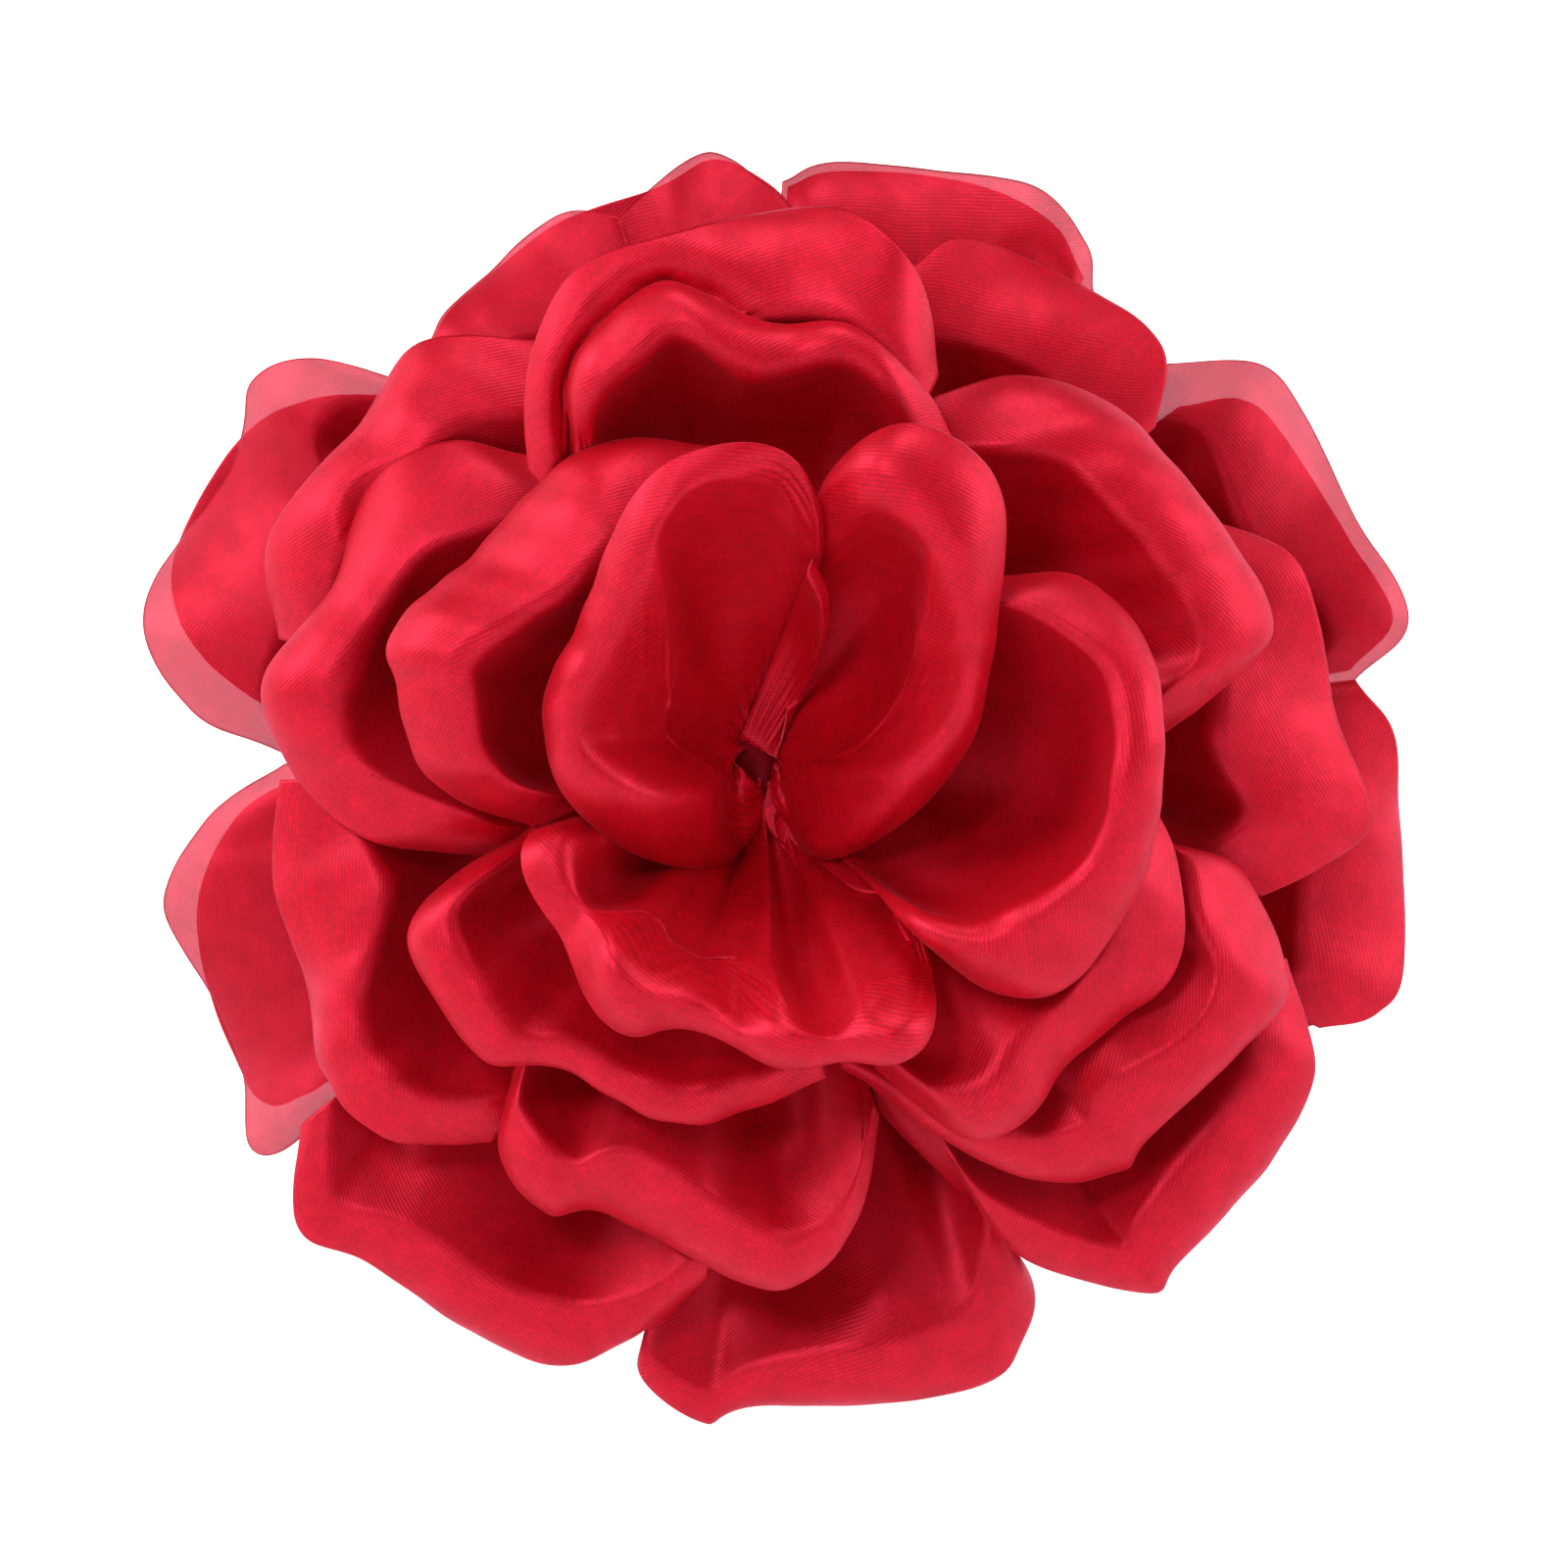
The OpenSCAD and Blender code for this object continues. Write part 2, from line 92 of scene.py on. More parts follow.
PETALS = [
    dict(name="inner_petal_1", rim=[[5.5, 18.5], [7, 15], [6.8, 11], [5.5, 7.5], [3, 4.5]], ridge=[0.6],
         roll=[5], edge=[20], skirt=[1], lift=[-5, -6, -12], gather=0.1, folds=0.15),
    dict(name="inner_petal_2", rim=[[2.5, 11], [5.5, 20], [2.5, 28], [-5.5, 28.5], [-11, 25], [-15, 16],
              [-20, 6], [-18, -3], [-13, -8.5], [-5.5, -10.5], [-0.5, -8], [1, -3.5]],
         ridge=[0.8, 0.8, 1, 2, 3, 3, 3, 2], roll=[5, 5, 5, 8, 10, 10, 15, 20],
         edge=[10, 15, 20, 45, 60, 60, 70, 70], skirt=[1, 1, 2, 5, 11, 13, 13, 10],
         cup=[5, 5, 8, 16, 38, 52, 50, 35], lift=[-14, -2, 2, 3, 3, 1, -5, -12], gather=0.12,
         fold_room=0.82, vary=0.3),
    dict(name="inner_petal_3", rim=[[3, 6], [5, 14], [6.5, 25], [14.5, 30.5], [22, 27], [23.5, 20],
              [23.5, 9], [20, 0], [14, -7], [6.5, -10], [2, -6], [1, -3]],
         ridge=[1, 1.5, 2.5, 3, 3, 4, 4, 3], roll=[5, 8, 8, 8, 8, 5, 5, 15],
         edge=[15, 30, 45, 55, 60, 65, 75, 75], skirt=[1.5, 3, 5, 7, 8, 11, 13, 11],
         cup=[5, 12, 28, 38, 42, 44, 46, 46], lift=[-14, -2, 2, 3, 3, 1, -4, -11], gather=0.12,
         fold_room=0.82, vary=0.3),
    dict(name="inner_petal_4", rim=[[23, 17], [31, 17], [37, 11], [38.5, 3], [37, -11], [31, -21],
              [24.5, -23], [17.5, -19], [9, -10]], ridge=[2, 1.8, 1.8, 2, 2.5, 2],
         roll=[15, 15, 15, 20, 30, 30], edge=[50, 70, 80, 65, 50, 50], skirt=[4, 6, 6, 7, 8, 4],
         cup=[20, 35, 48, 48, 30, 20], lift=[-4, 0, 1, 0, -2, -8]),
    dict(name="inner_petal_5", rim=[[-16.5, -5.5], [-21, -9], [-20, -16.5], [-13, -25], [-7, -26.5],
              [7.5, -30], [15, -27.5], [18, -22], [16, -17], [7, -9]], ridge=[2],
         roll=[20, 15, 15, 15, 10, 20, 30], edge=[30, 60, 80, 80, 65, 40, 30],
         skirt=[2, 4, 6, 6, 4, 2, 1.5], cup=[30, 32, 25, 25, 20, 15], lift=[-7, -1, 1, 2, 2, 0, -6],
         gather=4.5, gather_l=24, gathers=5),
    dict(name="inner_petal_6", rim=[[-4.5, 29.5], [-13, 30], [-21, 25.5], [-33, 12.5], [-33.5, 7],
              [-31, -2.5], [-21, -7]], ridge=[2], roll=[10, 10, 10, 15, 25, 25],
         edge=[40, 65, 75, 75, 50, 45], skirt=[4, 8, 10, 9, 8, 5], cup=[20, 40, 45, 40, 25],
         lift=[-5, 0, 1, 0, -2, -7]),
    dict(name="middle_petal_1", rim=[[-17.5, 28.5], [-17, 37], [-9, 45], [0, 41], [9, 40.5], [16, 35],
              [18.5, 29.5]], ridge=[1.8], roll=[10], edge=[50, 75, 85, 85, 70, 50],
         skirt=[4, 6, 6, 5, 5, 4], cup=[30, 48, 48, 45, 30], lift=[-5, 0, 1, 0, 0, -5]),
    dict(name="middle_petal_2", rim=[[-21, 27], [-21.5, 36], [-17.5, 45.5], [-9, 49], [6.5, 52],
              [14, 46.5], [17, 36]], ridge=[2.5], roll=[5, 5, 0, 5, 10, 10],
         edge=[20, 35, 30, 40, 45, 30], skirt=[5, 9, 11, 10, 8, 5], lift=[-4, 0, 0, 0, 0, -4]),
    dict(name="middle_petal_3", rim=[[37, -3], [40, -10], [39.5, -20], [35, -26], [28.5, -30.5],
              [24, -35.5], [19, -36], [11.5, -30]], ridge=[1.8], roll=[20, 30, 20, 30, 20, 20],
         edge=[40, 65, 70, 60, 40], skirt=[4, 8, 8, 6, 3], cup=[35, 45, 30, 25, 25],
         lift=[-4, 0, 0, 0, 0, -5]),
    dict(name="middle_petal_4", rim=[[17, 34], [25, 36.5], [34, 34], [39.5, 27.5], [49, 14], [46, 7],
              [38, 0]], ridge=[2], roll=[5, 8, 10, 12, 10, 10], edge=[30, 50, 65, 75, 70, 50],
         skirt=[5, 9, 11, 9, 7, 4], lift=[-4, 0, 0, 0, 0, -5]),
    dict(name="middle_petal_5", rim=[[-21, -7.5], [-31, -14.5], [-32, -20], [-26, -29], [-19, -30],
              [-9, -34.5], [0, -34], [7, -31]], ridge=[2], roll=[10, 20, 15, 15, 20, 20],
         edge=[35, 65, 80, 80, 60, 40], skirt=[2, 5, 7, 5, 4, 2], cup=[30, 30, 22, 20, 15],
         lift=[-4, 0, 1, 1, 1, -3]),
    dict(name="middle_petal_6", rim=[[-21, 29], [-29, 30], [-37, 25.5], [-41, 16], [-46, 6], [-44.5, -2],
              [-36, -8], [-25, -9.5]], ridge=[2], roll=[5, 10, 12, 15, 10, 10],
         edge=[30, 45, 70, 65, 45, 35], skirt=[5, 8, 9, 8, 9, 5], cup=[25, 40, 50, 40, 25],
         lift=[-4, 0, 0, 0, -1, -5]),
    dict(name="middle_petal_7", rim=[[39, -8.5], [46, -11], [50, -20], [49, -25], [37.5, -35.5],
              [35, -40], [25.5, -40], [8, -30]], ridge=[2], roll=[10, 25, 15, 25, 20, 20],
         edge=[40, 65, 80, 75, 60, 45], skirt=[3, 7, 6, 7, 4, 2], cup=[30, 32, 25, 22, 20],
         lift=[-3, 1, 1, 1, 0, -4]),
    dict(name="middle_petal_8", rim=[[-23.5, -30], [-25, -38], [-20, -44], [-14, -44], [2.5, -51],
              [10, -44.5], [11.5, -34]], ridge=[2], roll=[10, 15, 15, 20, 20, 20],
         edge=[40, 65, 80, 80, 60, 40], skirt=[2, 4, 7, 6, 4, 2], cup=[30, 30, 22, 20, 15],
         lift=[-3, 0, 1, 1, 1, -2]),
    dict(name="middle_petal_9", rim=[[-44.5, -2.5], [-46, -11.5], [-43, -20], [-41, -30.5], [-35, -36],
              [-25, -36.5]], ridge=[2], roll=[10, 15, 20, 20, 20], edge=[35, 60, 60, 50, 40],
         skirt=[4, 8, 9, 7, 4], cup=[40, 45, 30, 20], lift=[-3, 0, 0, 0, -3]),
    dict(name="middle_petal_10", rim=[[-21, 40], [-32, 39], [-38, 30], [-46, 21], [-45, 11]], ridge=[2.5],
         roll=[5, 10, 15, 10], edge=[35, 50, 60, 40], skirt=[6, 9, 9, 6], lift=[-2, 0, 0, -2]),
    dict(OUTER, name="outer_petal_1", rim=[[43, 22.5], [51.5, 18], [55.5, 3], [58.5, -6], [54, -10.5],
              [48, -13.5]]),
    dict(OUTER, name="outer_petal_2", rim=[[50, -19.5], [53, -30], [49, -38.5], [40, -48], [37, -51],
              [25, -47.5], [19, -39]], skirt=[6, 9, 8, 4], edge=[50, 60, 65, 50], cup=[30, 32, 25, 20],
         ridge=[2.2], lift=[-1, 1, 1, 0]),
    dict(OUTER, name="outer_petal_3", rim=[[15, 46], [20, 49], [29.5, 45.5], [38.5, 39], [38, 31]]),
    dict(OUTER, name="outer_petal_4", rim=[[-43, -35], [-43, -44.5], [-37, -48], [-27, -54.5], [-19, -58],
              [-12, -55.5], [-4.5, -49.5]], skirt=[3, 7, 8, 3], edge=[40, 60, 65, 40],
         cup=[20, 25, 20, 15], ridge=[2.2], lift=[-1, 1, 1, 0]),
    dict(OUTER, name="outer_petal_5", sheer=True, rim=[[-31, 39], [-28.5, 43.5], [-19, 51], [-13, 51]]),
    dict(OUTER, name="outer_petal_6", sheer=True, rim=[[-13.5, 50.5], [-5, 57.5], [0.5, 54.5], [3, 52]]),
    dict(OUTER, name="outer_petal_7", sheer=True, rim=[[2.5, 54.5], [8, 56], [25, 54.5], [31, 48.5],
              [32, 44]]),
    dict(OUTER, name="outer_petal_8", rim=[[11.5, -34], [25, -48.5], [25, -56], [20, -60], [0, -62],
              [-5, -63.5], [-11, -57.5], [-4.5, -49.5]], skirt=[7, 9, 7, 3], edge=[40, 55, 65, 50],
         cup=[20, 25, 20, 15], ridge=[2.2], lift=[-1, 1, 1, 0]),
    dict(OUTER, name="outer_petal_9", sheer=True, rim=[[-44.5, -1], [-52, -6], [-56.5, -14], [-52.5, -22],
              [-49, -31], [-47, -37.5], [-40, -33]]),
    dict(OUTER, name="outer_petal_10", sheer=True, rim=[[-34, 35.5], [-42, 37.5], [-48, 35.5],
              [-50, 28.5], [-58, 14], [-54, 4], [-44.5, -0.5]]),
    dict(OUTER, name="outer_petal_11", sheer=True, rim=[[39, 37], [48, 37], [52.5, 32], [57, 22.5],
              [61.5, 13], [56.5, 7]]),
    dict(OUTER, name="outer_petal_12", rim=[[56.5, 7], [61, 0], [61, -19], [58.5, -24], [53, -25.5]]),
    dict(BACK, name="back_petal_1", rim=[[40, 33], [46, 33.5], [50, 30], [56, 20], [60, 13], [56, 8]]),
    dict(BACK, name="back_petal_2", rim=[[56, 6], [60.5, 0], [60.5, -18.5], [58, -23.5], [52, -25.5]]),
    dict(BACK, name="back_petal_3", rim=[[51, -24], [52, -30], [48, -38.5], [39.5, -47.5], [36.5, -50],
              [25, -46.5], [20, -40]]),
    dict(BACK, name="back_petal_4", rim=[[24, -46], [23.5, -55], [19, -58.5], [12, -58.5], [9, -44]]),
    dict(BACK, name="back_petal_5", rim=[[-7, -52], [-12, -54.5], [-19, -57], [-27, -53.5], [-37, -47],
              [-41, -43], [-40, -35]]),
    dict(BACK, name="back_petal_6", rim=[[-42, -32], [-46, -33], [-49, -29], [-53, -14], [-49, -6],
              [-42, -2]]),
    dict(BACK, name="back_petal_7", rim=[[-43, 3], [-52, 9], [-55.5, 18], [-49, 29.5], [-42, 33.5],
              [-34, 34]]),
    dict(BACK, name="back_petal_8", rim=[[-31, 38], [-28, 43], [-19, 50], [-9, 53.5], [-4, 56], [1, 54],
              [5, 50]]),
    dict(BACK, name="back_petal_9", rim=[[3, 53.5], [8, 55], [21, 53.5], [28, 50], [31, 45]]),
]

DIP = 14                             # degrees that a wall first dips by, before it climbs
UNEVEN = dict(roll=(4, 24), edge=(14, 22), skirt=(0.3, 36), ridge=(0.3, 26), lift=(0.35, 24),
              cup=(12, 30))          # chance change along the rim, and its length in mm
NT, NW, NL, NS = 120, 40, 18, 24     # points along the rim, up the wall, over the fold, down the skirt


def level(i):
    return 1 - i / (len(PETALS) - 1)


def bowl_d(u, r):
    rise = BACK_RISE + FRONT_RISE * u ** 1.6
    return PETAL_D + STACK_H * u + rise * (1 - np.exp(-r / BOWL_R)) * (1 - RIM_DROOP * (r / FLOWER_R) ** 2)


def root_r(u):
    return FRONT_ROOT_R + (BACK_ROOT_R - FRONT_ROOT_R) * (1 - u)


def curve_through(points, n):
    """n points evenly spaced along a smooth open curve through the given ones."""
    p = np.array(points, float)
    p = np.vstack([2 * p[0] - p[1], p, 2 * p[-1] - p[-2]])
    t = np.linspace(0, 1, 25)[:, None]
    runs = []
    for a, b, c, d in zip(p, p[1:], p[2:], p[3:]):
        runs.append(0.5 * (2 * b + (c - a) * t + (2 * a - 5 * b + 4 * c - d) * t ** 2
                           + (3 * b - a - 3 * c + d) * t ** 3))
    dense = np.vstack(runs)
    along = np.concatenate([[0], np.cumsum(np.linalg.norm(np.diff(dense, axis=0), axis=1))])
    want = np.linspace(0, along[-1], n)
    return np.stack([np.interp(want, along, dense[:, k]) for k in (0, 1)], axis=1)


def blur(a, times, axis):
    """Soft running mean along an axis, with the ends held."""
    for _ in range(times):
        p = np.concatenate([a.take([0], axis), a, a.take([-1], axis)], axis)
        n = a.shape[axis]
        a = (p.take(range(n), axis) + 2 * p.take(range(1, n + 1), axis) + p.take(range(2, n + 2), axis)) / 4
    return a


def along_rim(values):
    """Values read along the rim, joined smoothly."""
    keys = np.linspace(0, 1, len(values))
    return blur(np.interp(np.linspace(0, 1, NT), keys, values), 40, 0)


def waves(rng, a, b, size, count=7):
    """Smooth noise of about unit height over two coordinates in mm, with features of a size."""
    total = np.zeros(np.broadcast(a, b).shape)
    for _ in range(count):
        turn, phase = rng.uniform(0, math.tau), rng.uniform(0, math.tau)
        k = math.tau / (size * rng.uniform(0.7, 1.6))
        total += np.sin(k * (a * math.cos(turn) + b * math.sin(turn)) + phase)
    return total / math.sqrt(count)


def petal_surface(i, p):
    """The petal's grid before it meets its neighbours: plan x and z, depth d and flat size."""
    u = level(i)
    rng = np.random.default_rng(100 + i)
    rim = curve_through(p["rim"], NT)
    # the tables give the rim as it looks at depth SEEN_D from the camera, SEEN_FROM away
    rim *= (1 + (SEEN_D - bowl_d(u, np.linalg.norm(rim, axis=1))) / SEEN_FROM)[:, None]
    around = np.concatenate([[0], np.cumsum(np.linalg.norm(np.diff(rim, axis=0), axis=1))])

    def uneven(key):
        amount, size = UNEVEN[key]
        return amount * (p["vary"] * waves(rng, around, 0 * around, size, 4))

    mid = rim.mean(0)
    e = mid / np.linalg.norm(mid)
    n = np.array([-e[1], e[0]])
    side = math.copysign(1, (rim[-1] - mid) @ n)
    half = 1.5 + 0.25 * root_r(u)
    t = np.linspace(0, 1, NT)
    root = (root_r(u) * 0.9 - 1.2 * u) * e + np.outer(side * half * (2 * t - 1), n)
    run = rim - root
    length = np.linalg.norm(run, axis=1)
    away = run / length[:, None]
    roll = np.radians(along_rim(p["roll"]) + uneven("roll")).clip(0)
    edge = np.radians(along_rim(p["edge"]) + uneven("edge")).clip(0)
    skirt = along_rim(p["skirt"]) * (1 + uneven("skirt")).clip(0.35, 1.5)
    down = np.linspace(0, 1, NS + 1)[None, 1:]
    bent = -roll[:, None] - (edge - roll)[:, None] * down ** 1.2
    steps = np.stack([np.cos(bent), np.sin(bent)], axis=2) * (skirt / NS)[:, None, None]
    tail = np.cumsum(steps, axis=1)
    ridge = along_rim(p["ridge"]) * (1 + uneven("ridge")).clip(0.4, 1.6)
    outside = ridge * np.sin(np.minimum(roll, np.pi / 2)) + tail[..., 0].max(1)
    shrink = np.minimum(1, p["fold_room"] * length / (outside + ridge))
    ridge, tail, outside = ridge * shrink, tail * shrink[:, None, None], outside * shrink
    root_d = bowl_d(u, root_r(u))
    crest = bowl_d(u, np.linalg.norm(rim, axis=1)) + along_rim(p["lift"]) + uneven("lift")
    crest = np.maximum(crest, root_d + 1.5)
    cup = np.radians(along_rim(p["cup"]) + uneven("cup"))
    # the wall's steepest angle, where it turns into the fold
    steep = np.full(NT, np.radians(70))
    for _ in range(4):
        wall_end = np.stack([(length - outside - ridge * np.sin(steep)).clip(0.2 * length),
                             crest - ridge * (1 - np.cos(steep))], axis=1)
        chord = np.arctan2(wall_end[:, 1] - root_d, wall_end[:, 0])
        steep = np.clip(chord + cup, np.radians(12), np.radians(118))
    reach = 0.42 * np.hypot(wall_end[:, 0], wall_end[:, 1] - root_d)
    first = np.clip(chord - 0.6 * cup - np.radians(DIP), np.radians(-35), np.radians(60))
    q0 = np.stack([np.zeros(NT), np.full(NT, root_d)], axis=1)
    q1 = q0 + reach[:, None] * np.stack([np.cos(first), np.sin(first)], axis=1)
    q2 = wall_end - reach[:, None] * np.stack([np.cos(steep), np.sin(steep)], axis=1)
    s = np.linspace(0, 1, NW)[None, :, None]
    wall = ((1 - s) ** 3 * q0[:, None] + 3 * s * (1 - s) ** 2 * q1[:, None]
            + 3 * s ** 2 * (1 - s) * q2[:, None] + s ** 3 * wall_end[:, None])
    bend = np.linspace(0, 1, NL + 1)[None, 1:]
    angle = steep[:, None] - bend * (steep + roll)[:, None]
    fold = np.stack([wall_end[:, :1] + ridge[:, None] * (np.sin(steep)[:, None] - np.sin(angle)),
                     wall_end[:, 1:] + ridge[:, None] * (np.cos(angle) - np.cos(steep)[:, None])], axis=2)
    profile = np.concatenate([wall, fold, fold[:, -1:] + tail], axis=1)
    steps = np.linalg.norm(np.diff(profile, axis=1), axis=2)
    climb = np.concatenate([np.zeros((NT, 1)), np.cumsum(steps, axis=1)], axis=1)
    xz = root[:, None] + away[:, None] * profile[..., :1]
    pts = np.concatenate([xz, profile[..., 1:]], axis=2)
    # the cloth's flat place, from its width and its length up the petal
    wide = np.linalg.norm(np.diff(rim, axis=0), axis=1).sum()
    spread = np.clip(climb / climb.max(), 0, 1) ** 0.7
    flat = np.stack([(t[:, None] - 0.5) * (2 * half + (wide - 2 * half) * spread), climb], axis=2)
    return ruffle(rng, p, pts, flat, t, climb, edge)


def normals(pts):
    a = np.gradient(pts, axis=0)
    b = np.gradient(pts, axis=1)
    c = np.cross(a, b)
    return c / np.maximum(np.linalg.norm(c, axis=2, keepdims=True), 1e-9)


def ruffle(rng, p, pts, flat, t, climb, edge):
    """Gathers at the root, soft folds up the petal and a lightly fluttered edge."""
    out = normals(pts)
    gathers = p.get("gathers", rng.integers(5, 8))
    phase = rng.uniform(0, math.tau)
    wander = 0.6 * waves(rng, flat[..., 0], flat[..., 1], 30, 3)
    fold = np.sin(math.tau * gathers * t[:, None] + phase + wander)
    fade = np.exp(-climb / p["gather_l"]) * np.clip(climb / 2, 0, 1)
    push = p["gather"] * fade * fold
    top = climb / climb[:, -1:]
    folds = p["folds"]
    push += folds * 0.45 * waves(rng, flat[..., 0], flat[..., 1] * 0.22, 18, 5) * np.clip(top * 1.3, 0, 1)
    push += folds * 0.1 * waves(rng, flat[..., 0], flat[..., 1] * 0.5, 6) * np.clip(top * 1.5, 0, 1)
    free = np.clip((math.radians(95) - edge) / math.radians(40), 0, 1)[:, None]
    flutter = waves(rng, flat[..., 0], 0 * flat[..., 0], 20, 4)
    push += folds * 0.6 * free * top ** 6 * flutter
    return pts + out * push[..., None], flat


# ---- laying the petals one behind another -------------------------------------------------------

CELL = 0.6                   # side of one cell of the map of depths, in mm
SPAN = 72.0                  # the map reaches this far each way
SIDE = int(2 * SPAN / CELL)
SLOPE = 1.3                  # steepest that a petal dives to pass under the one in front


def cells(xz):
    k = np.clip(((xz + SPAN) / CELL).astype(int), 0, SIDE - 1)
    return k[..., 0], k[..., 1]


def finer(pts, n=3):
    """The grid with n points for each one, so that it leaves no cell of the map empty."""
    for axis in (0, 1):
        m = pts.shape[axis]
        at = np.linspace(0, m - 1, m * n)
        low = np.clip(at.astype(int), 0, m - 2)
        w = (at - low).reshape((-1, 1, 1) if axis == 0 else (1, -1, 1))
        pts = pts.take(low, axis) * (1 - w) + pts.take(low + 1, axis) * w
    return pts


def lower_ceiling(ceiling, pts):
    """The ceiling for what lies behind a petal, sloping up away from its outline."""
    dense = finer(pts)
    a, b = cells(dense[..., :2])
    here = np.full((SIDE, SIDE), np.inf)
    np.minimum.at(here, (a.ravel(), b.ravel()), dense[..., 2].ravel() - GAP)
    for _ in range(24):
        for axis in (0, 1):
            for way in (1, -1):
                here = np.minimum(here, np.roll(here, way, axis) + SLOPE * CELL)
    return np.minimum(ceiling, here)


def settle(pts, ceiling):
    """Lets a petal down, smoothly, to lie below the ceiling.

    The last smoothing can leave it a little too high where the ceiling is steep, near the centre.
    """
    a, b = cells(pts[..., :2])
    over = np.minimum(ceiling[a, b] - pts[..., 2], 0)
    drop = over.copy()
    for _ in range(14):
        drop = np.minimum(blur(blur(drop, 2, 0), 2, 1), over)
    drop = blur(blur(drop, 1, 0), 1, 1)
    pts = pts.copy()
    pts[..., 2] += drop
    return pts


def lay_petals():
    ceiling = np.full((SIDE, SIDE), np.inf)
    laid = []
    for i, row in enumerate(PETALS):
        p = USUAL | row
        pts, flat = petal_surface(i, p)
        pts = settle(pts, ceiling)
        ceiling = lower_ceiling(ceiling, pts)
        laid.append((p, pts, flat))
    return laid


# ---- mesh helpers ---------------------------------------------------------------------------------

def place(pts):
    """Points x, z, d in mm, to the row frame in metres."""
    return np.stack([pts[..., 0], -pts[..., 2], pts[..., 1]], axis=-1) * MM


def grid_object(name, pts, flat=None, closed=False):
    """A mesh over a grid of row-frame points, with the flat cloth's millimetres as its UVs."""
    rows, cols = pts.shape[:2]
    index = np.arange(rows * cols).reshape(rows, cols)
    if closed:
        index = np.vstack([index, index[:1]])
    quads = np.stack([index[:-1, :-1], index[1:, :-1], index[1:, 1:], index[:-1, 1:]], axis=-1)
    quads = quads.reshape(-1, 4)
    mesh = bpy.data.meshes.new(name)
    mesh.from_pydata(pts.reshape(-1, 3).tolist(), [], quads.tolist())
    if flat is not None:
        uv = mesh.uv_layers.new(name="flat")
        loops = np.empty(len(mesh.loops), int)
        mesh.loops.foreach_get("vertex_index", loops)
        uv.data.foreach_set("uv", flat.reshape(-1, 2)[loops].astype(np.float32).ravel())
    mesh.polygons.foreach_set("use_smooth", [True] * len(mesh.polygons))
    mesh.update()
    obj = bpy.data.objects.new(name, mesh)
    bpy.context.scene.collection.objects.link(obj)
    return obj


def solidify(obj, thickness, rim_slot=0):
    m = obj.modifiers.new("thickness", "SOLIDIFY")
    m.thickness = thickness
    m.offset = 0
    m.material_offset_rim = rim_slot


# ---- materials --------------------------------------------------------------------------------------

class Nodes:
    """A material's node tree, built one node at a time."""

    def __init__(self, name):
        self.material = bpy.data.materials.new(name)
        self.material.use_nodes = True
        self.tree = self.material.node_tree
        self.tree.nodes.clear()
        self.out = self.add("ShaderNodeOutputMaterial")

    def add(self, kind, **values):
        node = self.tree.nodes.new(kind)
        for key, value in values.items():
            if hasattr(node, key):
                setattr(node, key, value)
            else:
                socket = node.inputs[key.replace("_", " ")]
                if isinstance(value, bpy.types.NodeSocket):
                    self.tree.links.new(value, socket)
                else:
                    socket.default_value = value
        return node

    def link(self, source, target):
        self.tree.links.new(source, target)


def ramp(nodes, source, stops):
    node = nodes.add("ShaderNodeValToRGB")
    node.color_ramp.elements[0].position, node.color_ramp.elements[0].color = stops[0]
    node.color_ramp.elements[1].position, node.color_ramp.elements[1].color = stops[-1]
    for position, colour in stops[1:-1]:
        node.color_ramp.elements.new(position).color = colour
    nodes.link(source, node.inputs[0])
    return node.outputs[0]


TWILL_PITCH = 0.36           # mm between the satin's diagonal lines
TWILL_TURN = 62              # degrees that the lines are turned from the petal's length
WAVE_LINES = 3.18            # lines that a wave texture of scale 1 has in one unit


